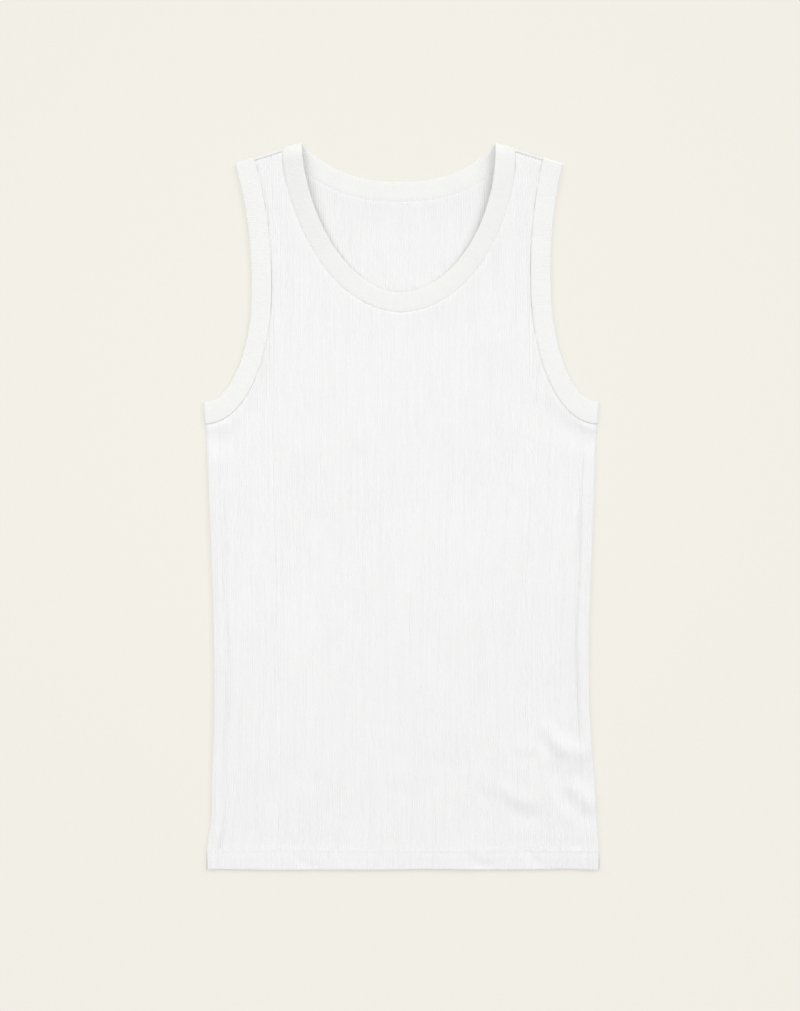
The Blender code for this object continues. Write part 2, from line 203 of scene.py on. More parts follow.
def panel_plan(neck, join_drop, edge_inset):
    """Plan grids of a panel, whose columns are its ribs: (rest across, drop) of each vertex.

    The lower grid runs from the hem to the armholes, and between them to a join line. The upper grid
    runs from the join line, or the armhole, to the neckline or the shoulder. Both run on under the
    bands by the tuck. Extra columns follow the steep part of the armhole.
    """
    seam = armhole_seam()
    arm, _ = offset_line(seam, TUCK)
    narrow = int(arm[:, 0].argmin())
    narrow_across, narrow_drop = arm[narrow]
    _, neck_seam, way = neck_band_lines(neck)
    neck_line = neck_seam - way * TUCK
    step = RIB_PITCH / COLUMNS_PER_RIB
    edge = UNDERARM_HALF - edge_inset
    half_count = math.floor(edge / step - 0.5)
    ribs = (np.arange(-half_count - 1, half_count + 1) + 0.5) * step
    extra = np.arange(0.1272, 0.1318, 0.0004)
    rest = np.unique(np.round(np.concatenate([ribs, extra, -extra, (edge, -edge)]), 6))
    reach = np.abs(rest)

    def join_line(reach):
        """The join's drop at the centre, which falls to the armhole's narrowest place as a cube."""
        share = np.minimum(reach, narrow_across) / narrow_across
        return join_drop + (narrow_drop - join_drop) * share**3

    arm_low = np.interp(reach, arm[narrow::-1, 0], arm[narrow::-1, 1])
    top = np.where(reach > narrow_across, arm_low, join_line(reach))
    near = TUCK + ROWS_AT_SEAM * 0.001
    up = [ROWS_AT_HEM * 0.001, np.arange(0.0250, 0.150, 0.0052), np.linspace(0.150, 0.400, 14)]
    lower_drop = np.repeat((LENGTH - np.concatenate(up))[:, None], len(rest), axis=1)
    share = np.linspace(0.0, 1.0, 5)[1:-1, None]
    last = lower_drop[-1]
    between = last + (top + near[-1] - last) * share
    drop_low = np.concatenate([lower_drop, between, top + near[::-1][:, None]])
    rest_low = np.broadcast_to(rest, drop_low.shape)

    upper = rest[reach < BETWEEN_BANDS]
    reach = np.abs(upper)
    arm_high = np.interp(reach, arm[narrow:, 0], arm[narrow:, 1])
    bottom = np.where(reach > narrow_across, arm_high, join_line(reach))
    shoulder = (reach - NECK_HALF) * SHOULDER_SLOPE
    neck_top = np.interp(reach, neck_line[:, 0], neck_line[:, 1])
    top = np.where(reach < neck_line[-1, 0], neck_top, shoulder)
    length = bottom - top
    scale = np.minimum(1.0, length / (2 * near[-1]))
    steps = np.where(reach < neck_line[-1, 0], near[:, None], ROWS_AT_SHOULDER[:, None] * 0.001)
    rows = top + steps[::-1] * scale
    share = np.linspace(0.0, 1.0, 10)[:-1, None]
    drop_high = np.concatenate([bottom + (rows[0] - bottom) * share, rows])
    rest_high = np.broadcast_to(upper, drop_high.shape)
    return (rest_low, drop_low), (rest_high, drop_high)


def spread(rest, drop, edge_inset):
    """Where a rib lies across: the ribs draw in and out with the panel's sides below the underarm."""
    side = along(SIDES, "half_width", np.maximum(drop, UNDERARM)) - edge_inset
    return rest * side / (UNDERARM_HALF - edge_inset)


def rib_wave(phase):
    """Height of a rib at its phase: 1 over the crest, and straight flanks down to 0 in the groove."""
    from_groove = np.abs(phase - np.floor(phase) - 0.5)
    return np.minimum(from_groove * COLUMNS_PER_RIB, 1.0)


def rib_size(rib, drop):
    """How tall a rib stands, about 1: each rib rises and sinks along its length in its own rhythm."""
    rhythm = 26.0 + 17.0 * np.sin(rib * 1.7)
    return 1.0 + 0.38 * np.sin(drop * rhythm + rib * 4.1) + 0.22 * np.sin(rib * 2.4 + drop * 9.0)


def mesh_object(name, points, faces, uv=None, round_trip=None):
    """A smooth mesh piece from points, faces and one UV place a point.

    On a closed piece, a face that spans the end and the start of the count has the whole round trip
    added to its corners past the start, so that the knit runs on without a break.
    """
    mesh = bpy.data.meshes.new(name)
    mesh.from_pydata(points.tolist(), [], faces.tolist())
    if uv is not None:
        layer = mesh.uv_layers.new(name="knit")
        corner = np.empty(len(mesh.loops), dtype=np.int32)
        mesh.loops.foreach_get("vertex_index", corner)
        place = uv[corner].reshape(len(faces), 4, 2)
        if round_trip is not None:
            spans = np.ptp(place, axis=1, keepdims=True) > np.array(round_trip) / 2
            place = place + spans * (place < np.array(round_trip) / 2) * round_trip
        layer.data.foreach_set("uv", place.ravel())
    mesh.polygons.foreach_set("use_smooth", np.full(len(mesh.polygons), True))
    mesh.update()
    piece = bpy.data.objects.new(name, mesh)
    bpy.context.scene.collection.objects.link(piece)
    return piece


def grid_faces(rows, columns, first=0, close_rows=False, close_columns=False):
    """Quads between neighbouring points of a grid that is stored row by row."""
    index = first + np.arange(rows * columns).reshape(rows, columns)
    if close_rows:
        index = np.concatenate([index, index[:1]])
    if close_columns:
        index = np.concatenate([index, index[:, :1]], axis=1)
    corners = (index[:-1, :-1], index[:-1, 1:], index[1:, 1:], index[1:, :-1])
    return np.stack(corners, axis=-1).reshape(-1, 4)


def merge(points, faces, uv):
    """The mesh with points at one place made one point, and faces that lose their area left out."""
    key = np.round(points * 1e7).astype(np.int64)
    _, first, same = np.unique(key, axis=0, return_index=True, return_inverse=True)
    same = same.reshape(-1)[faces]
    kept = (same[:, 0] != same[:, 2]) & (same[:, 1] != same[:, 3])
    kept &= (same[:, 0] != same[:, 1]) & (same[:, 2] != same[:, 3])
    kept &= (same[:, 1] != same[:, 2]) & (same[:, 3] != same[:, 0])
    return points[first], same[kept], uv[first]


HEM_FOLD = np.radians((30.0, 60.0, 90.0, 120.0, 150.0, 180.0))
HEM_RETURN = 0.0225
HEM_DRAW_IN = 0.005  # share of the width by which a raised hem draws in
EDGE_ROLL = np.radians((15.0, 32.0, 50.0, 70.0, 90.0))


def hem_turn(across, drop, height, crest, radius, facing):
    """Rows of a hem below its edge row: round its fold, then back up inside by the hem's depth.

    Round the fold, a point's way out from the fold's middle is the radius plus its rib's crest.
    """
    bend = HEM_FOLD[:, None]
    round_drop = drop - radius + (radius + crest) * np.sin(bend)
    round_height = height + facing * (crest * np.cos(bend) - radius * (1 - np.cos(bend)))
    inner_drop = drop - radius - HEM_RETURN * np.array(((0.5,), (1.0,)))
    inner_height = np.broadcast_to(height - facing * (2 * radius + crest), inner_drop.shape)
    drops = np.concatenate([round_drop, inner_drop])[::-1]
    heights = np.concatenate([round_height, inner_height])[::-1]
    return np.broadcast_to(across, drops.shape), drops, heights


def side_roll(grid, column, hand, radius, rolled, facing):
    """Columns past a grid's side: a quarter circle towards the other panel where rolled is 1.

    Where it is 0 they lie level, and reach out about a third as far.
    """
    out = radius * np.sin(EDGE_ROLL) * (0.35 + 0.65 * rolled)
    fall = radius * (1 - np.cos(EDGE_ROLL)) * rolled
    across, drop, height = (part[:, column, None] for part in grid)
    return across + hand * out, drop + 0 * out, height - facing * fall


def shoulder_roll(across, drop, height, crest, radius, facing):
    """Rows past a grid's top: a quarter circle at the shoulders, and level under the neck band."""
    bend = EDGE_ROLL[:, None]
    at_shoulder = smooth((np.abs(across) - 0.108) / 0.004)
    fall = radius * (1 - np.cos(bend)) * at_shoulder
    drops = drop - radius * np.sin(bend)
    heights = height + facing * (crest * np.cos(bend) - fall)
    return np.broadcast_to(across, drops.shape), drops, heights


def knit_places(grid, edge_row):
    """UV places on a grid: ribs counted across, and courses along the cloth's own run from a row."""
    across, drop, height = grid
    step = np.hypot(np.diff(drop, axis=0), np.diff(height, axis=0))
    run = np.concatenate([np.zeros((1, drop.shape[1])), np.cumsum(step, axis=0)])
    along_rib = drop[edge_row] - (run - run[edge_row])
    return np.stack([across / RIB_PITCH, along_rib / COURSE], axis=-1).reshape(-1, 2)


def panel_cloth(name, neck, join_drop, surface, facing, rolls, hem_rise=None):
    """A panel as one closed layer of cloth, from the height of its outer face.

    surface(across, drop) gives that height. facing is 1 for up and -1 for down. rolls holds the
    radius of the turn at the sides, at the hem and at the shoulders, where the cloth curls towards
    the other panel. hem_rise(rest) gives how far the hem's edge rises at each rib.
    """
    side_radius, hem_radius, shoulder_radius = rolls
    (rest_low, drop_low), (rest_high, drop_high) = panel_plan(neck, join_drop, side_radius)
    if hem_rise is not None:
        drop_low = drop_low - hem_rise(rest_low) * smooth(1.0 - (LENGTH - drop_low) / 0.060)
        rest_low = rest_low * (1.0 - HEM_DRAW_IN * smooth(1.0 - (LENGTH - drop_low) / 0.030))

    def outer(rest, drop):
        """The outer face on a grid: the way across, the height, and how far its rib stands out."""
        across = spread(rest, drop, side_radius)
        size = rib_size(np.round(rest / RIB_PITCH), drop)
        crest = (rib_wave(rest / RIB_PITCH) * size - 0.5) * RIB_DEPTH
        return across, surface(across, drop), crest

    across, height, crest = outer(rest_low, drop_low)
    hem = hem_turn(across[0], drop_low[0], height[0], crest[0], hem_radius, facing)
    drop_low[0] -= hem_radius
    low = [np.concatenate(pair) for pair in zip(hem, (across, drop_low, height + facing * crest))]
    bend = np.concatenate([np.full(2, math.pi), HEM_FOLD[::-1], np.zeros(len(drop_low))])
    rolled = np.clip(np.cos(bend), 0.0, 1.0)[:, None]
    left = side_roll(low, 0, -1, side_radius, rolled, facing)
    right = side_roll(low, -1, 1, side_radius, rolled, facing)
    low = [np.concatenate([a[:, ::-1], b, c], axis=1) for a, b, c in zip(left, low, right)]

    across, height, crest = outer(rest_high, drop_high)
    top = shoulder_roll(across[-1], drop_high[-1], height[-1], crest[-1], shoulder_radius, facing)
    high = [np.concatenate(pair) for pair in zip((across, drop_high, height + facing * crest), top)]

    points = np.concatenate([lay(*grid).reshape(-1, 3) for grid in (low, high)])
    faces = np.concatenate([grid_faces(*low[0].shape), grid_faces(*high[0].shape, first=low[0].size)])
    uv = np.concatenate([knit_places(low, len(hem[0])), knit_places(high, 0)])
    points, faces, uv = merge(points, faces, uv)
    corner = points[faces]
    lift = np.cross(corner[:, 2] - corner[:, 0], corner[:, 3] - corner[:, 1])[:, 2].sum()
    if lift * facing < 0:
        faces = faces[:, ::-1]
    piece = mesh_object(name, points, faces, uv)
    wall = piece.modifiers.new("wall", "SOLIDIFY")
    wall.thickness = CLOTH
    wall.offset = -1.0
    return piece


# Soft creases: each is a ridge (height above 0) or a trough (below 0) between two ends, that fades
# out across its half width and towards both ends.
CREASE_COLUMNS = ("across_a", "drop_a", "across_b", "drop_b", "half_width", "height")
BACK_CREASES = np.array(
    (
        (-0.150, 0.300, -0.110, 0.420, 0.0110, 0.0004),
        (0.060, 0.360, 0.090, 0.560, 0.0120, 0.0005),
        (-0.080, 0.520, -0.130, 0.640, 0.0100, 0.0005),
        (0.130, 0.600, 0.165, 0.660, 0.0090, 0.0006),
        (-0.020, 0.150, 0.010, 0.290, 0.0120, 0.0004),
    )
)


def creases(table, across, drop):
    """Sum of soft creases, each its height times a bell across it and a fade along it.

    The fade is a bell beyond the middle half of its length, and the crease bows a little to one side.
    """
    total = np.zeros(np.shape(across))
    for row in table:
        crease = dict(zip(CREASE_COLUMNS, row))
        run = np.array((crease["across_b"] - crease["across_a"], crease["drop_b"] - crease["drop_a"]))
        length = np.linalg.norm(run)
        way = run / length
        dx = across - crease["across_a"]
        dy = drop - crease["drop_a"]
        place = (dx * way[0] + dy * way[1]) / length
        bow = 0.08 * length * np.sin(np.clip(place, 0.0, 1.0) * math.pi)
        beside = (dx * way[1] - dy * way[0] + bow) / crease["half_width"]
        past = np.maximum(np.abs(place - 0.5) - 0.25, 0.0) * length / crease["half_width"]
        total = total + crease["height"] * np.exp(-(beside**2) - 0.5 * past**2)
    return total


BACK_REST = 0.0006
BACK_BAND_MID = 0.0012  # height of the middle of the bands behind, and half of a band's thickness
BAND_HALF = 0.0008
_, BACK_SEAM, BACK_WAY = neck_band_lines(BACK_NECK)


def back_surface(across, drop):
    """Height of the back's underside.

    It is just clear of the ground by the depth of its ribs, with a few soft creases, and raised along
    the neck, where its inside face meets the neck band's face with a small dip at the seam.
    """
    plan = np.stack([np.abs(across), drop], axis=-1)
    neck, _ = inside(plan, BACK_SEAM, -BACK_WAY)
    near = smooth(1.0 - neck / 0.020)
    level = BACK_BAND_MID + BAND_HALF - CLOTH + 0.0001
    dip = 0.0002 * (1.0 - smooth(neck / 0.0010))
    return BACK_REST + creases(BACK_CREASES, across, drop) + (level - BACK_REST) * near - dip * near


def knit_group():
    """Shader group of rib knit: loops that lean to and fro up each rib, and a slow mottle.

    Its Ribs input counts ribs across and courses along. Tone is about 0.85 on a rib and falls in its
    groove, which is painted shade, with the mottle on it, and Height is the relief of the loops.
    """
    group = bpy.data.node_groups.new("rib knit", "ShaderNodeTree")
    interface = group.interface
    interface.new_socket("Ribs", in_out="INPUT", socket_type="NodeSocketVector")
    interface.new_socket("Place", in_out="INPUT", socket_type="NodeSocketVector")
    interface.new_socket("Groove shade", in_out="INPUT", socket_type="NodeSocketFloat")
    interface.new_socket("Mottle", in_out="INPUT", socket_type="NodeSocketFloat")
    interface.new_socket("Tone", in_out="OUTPUT", socket_type="NodeSocketFloat")
    interface.new_socket("Height", in_out="OUTPUT", socket_type="NodeSocketFloat")
    nodes = group.nodes
    links = group.links
    given = nodes.new("NodeGroupInput")
    made = nodes.new("NodeGroupOutput")

    def math_node(operation, a, b=None, c=None):
        """The result of a math node on sockets or plain numbers."""
        node = nodes.new("ShaderNodeMath")
        node.operation = operation
        for socket, value in zip(node.inputs, (a, b, c)):
            if isinstance(value, (int, float)):
                socket.default_value = value
            elif value is not None:
                links.new(value, socket)
        return node.outputs[0]

    def noise(scale, detail, vector):
        """A noise with about that many lumps in one unit of the vector."""
        node = nodes.new("ShaderNodeTexNoise")
        node.inputs["Scale"].default_value = scale
        node.inputs["Detail"].default_value = detail
        links.new(vector, node.inputs["Vector"])
        return node.outputs["Fac"]

    # loops: a wave up the rib, slanted away from the rib's middle on both sides of it
    ribs = nodes.new("ShaderNodeSeparateXYZ")
    links.new(given.outputs["Ribs"], ribs.inputs[0])
    phase = math_node("FRACT", math_node("ADD", ribs.outputs["X"], 0.5))
    from_middle = math_node("ABSOLUTE", math_node("SUBTRACT", phase, 0.5))
    slant = math_node("MULTIPLY_ADD", from_middle, 1.4, ribs.outputs["Y"])
    wave = math_node("SINE", math_node("MULTIPLY", slant, math.tau))
    loop = math_node("MULTIPLY_ADD", wave, 0.5, 0.5)
    parting = math_node("SMOOTH_MIN", math_node("MULTIPLY", from_middle, 9.0), 1.0, 0.3)
    height = math_node("MULTIPLY", loop, parting)
    # groove: 0 on a rib's crest and 1 in the middle of its groove, where the tone falls as painted shade
    groove = math_node("POWER", math_node("MULTIPLY", from_middle, 2.0), 3.0)

    # mottle: fine lint, broad clouds, and streaks that follow a rib or two for many courses
    fine = noise(420.0, 3.0, given.outputs["Place"])
    broad = noise(26.0, 4.0, given.outputs["Place"])
    stretch = nodes.new("ShaderNodeVectorMath")
    stretch.operation = "MULTIPLY"
    stretch.inputs[1].default_value = (1.1, 0.022, 1.0)
    links.new(given.outputs["Ribs"], stretch.inputs[0])
    streak = noise(1.0, 2.0, stretch.outputs[0])
    mottle = math_node("ADD", math_node("ADD", fine, broad), streak)
    mottle = math_node("SUBTRACT", mottle, 1.5)
    tone = math_node("MULTIPLY_ADD", mottle, given.outputs["Mottle"], 0.85)
    # the tone falls in each groove: painted shade
    tone = math_node("SUBTRACT", tone, math_node("MULTIPLY", groove, given.outputs["Groove shade"]))
    links.new(tone, made.inputs["Tone"])
    links.new(math_node("MULTIPLY_ADD", fine, 0.6, height), made.inputs["Height"])
    return group


KNIT = knit_group()


def knit_material(name, light, shade, groove, mottle, loop_height):
    """White cotton knit: the group's tone runs between a shaded and a light colour, with painted shade in
    the grooves.
    """
    made = bpy.data.materials.new(name)
    made.use_nodes = True
    nodes = made.node_tree.nodes
    links = made.node_tree.links
    shader = nodes["Principled BSDF"]
    shader.inputs["Roughness"].default_value = 0.88
    shader.inputs["Specular IOR Level"].default_value = 0.25
    shader.inputs["Sheen Weight"].default_value = 0.08
    shader.inputs["Sheen Roughness"].default_value = 0.6
    ribs = nodes.new("ShaderNodeUVMap")
    ribs.uv_map = "knit"
    place = nodes.new("ShaderNodeTexCoord")
    knit = nodes.new("ShaderNodeGroup")
    knit.node_tree = KNIT
    # groove: how far the tone falls in each groove, which is painted shade
    knit.inputs["Groove shade"].default_value = groove
    knit.inputs["Mottle"].default_value = mottle
    links.new(ribs.outputs["UV"], knit.inputs["Ribs"])
    links.new(place.outputs["Object"], knit.inputs["Place"])
    # sockets 6 and 7 are the mix's two colours, and its output 2 is the mixed colour
    mix = nodes.new("ShaderNodeMix")
    mix.data_type = "RGBA"
    mix.inputs[6].default_value = (*shade, 1.0)
    mix.inputs[7].default_value = (*light, 1.0)
    links.new(knit.outputs["Tone"], mix.inputs[0])
    links.new(mix.outputs[2], shader.inputs["Base Color"])
    bump = nodes.new("ShaderNodeBump")
    bump.inputs["Distance"].default_value = loop_height
    bump.inputs["Strength"].default_value = 1.0
    links.new(knit.outputs["Height"], bump.inputs["Height"])
    links.new(bump.outputs["Normal"], shader.inputs["Normal"])
    return made


BODY_KNIT = knit_material(
    "white rib cotton",
    light=(0.892, 0.893, 0.892),
    shade=(0.74, 0.74, 0.735),
    # groove: the tone's fall in the grooves between the ribs, which is painted shade
    groove=0.22,
    mottle=0.22,
    loop_height=0.00010,
)

BACK_JOIN = 0.120
BACK_ROLLS = (0.0011, 0.00065, 0.0011)
back = panel_cloth("back_cloth", BACK_NECK, BACK_JOIN, back_surface, -1, BACK_ROLLS)
back.data.materials.append(BODY_KNIT)
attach(back, "root")
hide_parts("back_panel")


# Front: the same knit, lying on the back. Its seams lift it, the side seams' turned-in edges make
# a flat ridge along each side, and its loose lower right corner lies in a few soft folds.

FRONT_REST = 0.0031
LOFT = 0.0005  # of the slow swells
BAND_MID = 0.0032  # height of the middle of the bands in front
ARM_SEAM = armhole_seam()
_, ARM_NORMAL = offset_line(ARM_SEAM, 0.0)
_, NECK_SEAM, NECK_WAY = neck_band_lines(FRONT_NECK)
NECK_LIFT = {
    "turn": np.array((0.0, 0.45, 0.75, 0.9, 0.96, 1.0)),
    "seam": np.array((0.0030, 0.0034, 0.0042, 0.0042, 0.0038, 0.0031)),
    "free": np.array((0.0036, 0.0053, 0.0088, 0.0105, 0.0098, 0.0054)),
}

# Folds of the front, in the columns that the back's creases have. First comes the broad swell of the
# lower right corner with the S of short folds on it, then the folds beside it, small pulls at the hem,
# long faint waves down the body, and the drag lines below each underarm.
FOLDS = np.array(
    (
        (0.120, 0.590, 0.190, 0.700, 0.0320, 0.0016),
        (0.140, 0.579, 0.168, 0.606, 0.0070, 0.0014),
        (0.136, 0.592, 0.156, 0.616, 0.0060, -0.0011),
        (0.158, 0.602, 0.184, 0.608, 0.0090, 0.0022),
        (0.168, 0.616, 0.164, 0.642, 0.0060, 0.0012),
        (0.153, 0.620, 0.152, 0.646, 0.0070, -0.0012),
        (0.150, 0.627, 0.172, 0.634, 0.0090, -0.0016),
        (0.164, 0.631, 0.198, 0.664, 0.0075, 0.0018),
        (0.154, 0.644, 0.188, 0.678, 0.0080, -0.0016),
        (0.189, 0.606, 0.197, 0.618, 0.0035, -0.0016),
        (0.154, 0.664, 0.178, 0.668, 0.0045, 0.0006),
        (0.152, 0.680, 0.172, 0.685, 0.0050, -0.0008),
        (0.158, 0.694, 0.180, 0.700, 0.0045, -0.0007),
        (0.086, 0.636, 0.142, 0.658, 0.0065, 0.0012),
        (0.076, 0.646, 0.090, 0.656, 0.0045, -0.0008),
        (0.104, 0.664, 0.136, 0.672, 0.0065, -0.0014),
        (0.112, 0.600, 0.134, 0.601, 0.0050, 0.0006),
        (0.114, 0.612, 0.134, 0.615, 0.0050, -0.0008),
        (0.030, 0.612, 0.050, 0.622, 0.0070, -0.0005),
        (-0.020, 0.640, 0.010, 0.650, 0.0080, -0.0005),
        (-0.110, 0.630, -0.080, 0.636, 0.0070, -0.0005),
        (0.064, 0.690, 0.070, 0.712, 0.0045, 0.0005),
        (-0.067, 0.692, -0.065, 0.714, 0.0028, -0.0006),
        (-0.072, 0.694, -0.070, 0.714, 0.0028, 0.0005),
        (0.001, 0.680, 0.002, 0.706, 0.0022, 0.0005),
        (0.006, 0.682, 0.006, 0.704, 0.0022, -0.0004),
        (0.068, 0.714, 0.090, 0.722, 0.0050, -0.0012),
        (0.124, 0.706, 0.138, 0.720, 0.0045, -0.0010),
        (-0.106, 0.714, -0.082, 0.722, 0.0045, -0.0008),
        (-0.184, 0.700, -0.186, 0.716, 0.0040, -0.0008),
        (-0.150, 0.560, -0.128, 0.640, 0.0100, 0.0005),
        (-0.060, 0.400, -0.052, 0.560, 0.0120, 0.0005),
        (0.060, 0.330, 0.074, 0.520, 0.0120, 0.0005),
        (0.100, 0.220, 0.120, 0.330, 0.0100, 0.0005),
        (-0.120, 0.230, -0.100, 0.340, 0.0100, 0.0005),
        (-0.190, 0.288, -0.158, 0.270, 0.0070, 0.0011),
        (-0.190, 0.300, -0.166, 0.292, 0.0070, -0.0010),
        (-0.178, 0.296, -0.172, 0.344, 0.0045, -0.0008),
        (0.190, 0.282, 0.146, 0.246, 0.0080, 0.0012),
        (0.188, 0.304, 0.158, 0.276, 0.0080, -0.0010),
        (0.180, 0.300, 0.184, 0.350, 0.0050, -0.0008),
    )
)

SIDE_ALLOWANCE = 0.0125  # width of the side seam's turned-in edges
SIDE_RIDGE = 0.0012
SIDE_TROUGH = 0.0019
UNDERARM_SAG = 0.0017
HEM_STEP = 0.0005
HEM_ROWS = (0.0163, 0.0214)  # heights of the two rows of stitching above the hem's edge
STITCH_SINK = 0.00030


def slow_noise(across, drop, seed):
    """An even, slow unevenness between -1 and 1: a sum of four waves that cross."""
    total = 0.0
    for k, (kx, ky) in enumerate(((37, 11), (-23, 29), (61, -19), (13, 53))):
        total = total + np.sin(across * kx + drop * ky + seed * 2.1 + k * 1.7)
    return total / 4


def front_hem_rise(rest):
    """How far the front's hem edge rises at each rib: two slow waves, a lifted spot and a small fall."""
    wave = 0.0003 * np.sin(rest * 23.0 + 0.6) + 0.0002 * np.sin(rest * 61.0)
    lifted = 0.0012 * np.exp(-(((rest - 0.165) / 0.018) ** 2))
    return wave + lifted - 0.0005


def front_surface(across, drop):
    """Height of the front's outer face.

    The rest height plus a slow swell and the folds, lifted along the seams to meet the bands, with a
    groove where it dips under them, a ridge with a trough beside it along each side, and the hem.
    """
    plan = np.stack([np.abs(across), drop], axis=-1)
    arm, _ = inside(plan, ARM_SEAM, ARM_NORMAL)
    neck, turn = inside(plan, NECK_SEAM, -NECK_WAY)
    below_shoulder = drop - (np.abs(across) - NECK_HALF) * SHOULDER_SLOPE
    height = FRONT_REST + LOFT * (1.1 + 1.6 * slow_noise(across * 0.7, drop * 0.5, 1.0))

    for target, nearness in (
        (BAND_MID + 0.0006, smooth(1.0 - arm / 0.024)),
        (along(NECK_LIFT, "seam", turn) + 0.0008, smooth(1.0 - neck / 0.026)),
        (BAND_MID + 0.0006, smooth(1.0 - below_shoulder / 0.060)),
    ):
        height = height + (target - height) * nearness

    # the sag below the underarm, and the folds, which end short of every seam
    at_underarm = smooth((drop - 0.225) / 0.035)
    height = height - at_underarm * UNDERARM_SAG * np.exp(-(((arm - 0.0145) / 0.009) ** 2))
    clear = smooth(arm / 0.005) * smooth(neck / 0.005) * smooth(below_shoulder / 0.005)
    height = height + creases(FOLDS, across, drop) * clear

    # along each side, the ridge of the turned-in edges and the trough beside it, fainter low on the right
    below_underarm = smooth((drop - UNDERARM - 0.004) / 0.05)
    side = along(SIDES, "half_width", np.maximum(drop, UNDERARM)) - np.abs(across)
    wander = 0.0012 * np.sin(drop * 46.0 + across * 5.0)
    ridge = smooth((SIDE_ALLOWANCE + 0.0025 - side - wander) / 0.004)
    faded = 1.0 - 0.75 * smooth((drop - 0.585) / 0.03) * (across > 0)
    trough = np.exp(-(((side + wander - SIDE_ALLOWANCE - 0.0010) / 0.0018) ** 2))
    height = height + below_underarm * faded * (SIDE_RIDGE * ridge - SIDE_TROUGH * trough)
    height = height - 0.0010 * below_underarm * smooth(1.0 - side / 0.008) ** 2

    # the doubled hem, drawn down by its stitching
    up = LENGTH - drop
    height = height + HEM_STEP * smooth((HEM_RETURN + 0.002 - up) / 0.004)
    for row in HEM_ROWS:
        height = height - STITCH_SINK * np.exp(-(((up - row) / 0.0009) ** 2))

    # the dips under the bands and before the shoulder fold, of which the deepest counts
    arm_way = 0.0015 + 0.0030 * at_underarm
    arm_dip = (0.0013 - 0.0005 * at_underarm) * (1.0 - smooth(arm / arm_way))
    neck_dip = 0.0005 * (1.0 - smooth(neck / 0.0013))
    shoulder_dip = 0.0016 * np.exp(-(((below_shoulder - 0.0018) / 0.0008) ** 2))
    return height - np.maximum(np.maximum(arm_dip, neck_dip), shoulder_dip)


FRONT_JOIN = 0.215
FRONT_ROLLS = (0.0014, 0.00065, 0.0013)
front = panel_cloth(
    "front_cloth", FRONT_NECK, FRONT_JOIN, front_surface, 1, FRONT_ROLLS, front_hem_rise
)
front.data.materials.append(BODY_KNIT)
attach(front, "root")
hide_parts("front_panel")


# Neck band: a strip of the same knit, folded double along its length with its ribs across it, and
# sewn round the whole neck opening. It turns over the shoulder folds, and its free edge stands
# clear of the back, most of all near the shoulders.

FOLD_RADIUS = 0.00125  # of the middle of a band, where it turns over a fold
BAND_RIB = 0.00026
BAND_CROWN = 0.00022


def band_section():
    """Section of a band as (share of the way from seam to free edge, way out) points.

    Its outer face is a low crown, its inner face is flat, and its two edges are half rounds.
    """
    inset = 0.055
    edge = np.radians((90, 60, 30, 0, -30, -60, -90))
    outer = np.linspace(inset, 1 - inset, 9)
    crown = BAND_HALF + BAND_CROWN * np.sin((outer - inset) / (1 - 2 * inset) * math.pi)
    free = np.stack([1 - inset + inset * np.cos(edge), BAND_HALF * np.sin(edge)], axis=1)
    inner = np.linspace(1 - inset, inset, 5)
    seam = np.stack([inset - inset * np.cos(edge[::-1]), BAND_HALF * np.sin(edge[::-1])], axis=1)
    return np.concatenate(
        [
            np.stack([outer, crown], axis=1),
            free[1:-1],
            np.stack([inner, np.full(len(inner), -BAND_HALF)], axis=1),
            seam[1:-1],
        ]
    )


SECTION = band_section()


def even_stations(stations):
    """Stations of a closed band spaced evenly, three to a rib, by the way its outer face runs."""
    middle = (stations["free"] + stations["seam"]) / 2
    mid_z = (stations["free_z"] + stations["seam_z"]) / 2
    bulge = (FOLD_RADIUS + BAND_HALF) * np.sin(stations["turn"])
    outer = middle + stations["toward"] * bulge[:, None]
    outer = np.column_stack([outer, mid_z + BAND_HALF * np.cos(stations["turn"])])
    step = np.linalg.norm(np.diff(outer, axis=0), axis=1)
    run = np.concatenate([[0.0], np.cumsum(step)])
    ribs = round(run[-1] / RIB_PITCH)
    count = ribs * COLUMNS_PER_RIB
    places = np.linspace(0.0, run[-1], count, endpoint=False)
    even = {"phase": (np.arange(count) + 0.5) / COLUMNS_PER_RIB, "run": run[-1]}
    for name, values in stations.items():
        flat = values.reshape(len(run), -1)
        made = np.stack([np.interp(places, run, flat[:, i]) for i in range(flat.shape[1])], axis=1)
        even[name] = made.reshape(count, *values.shape[1:])
    return even


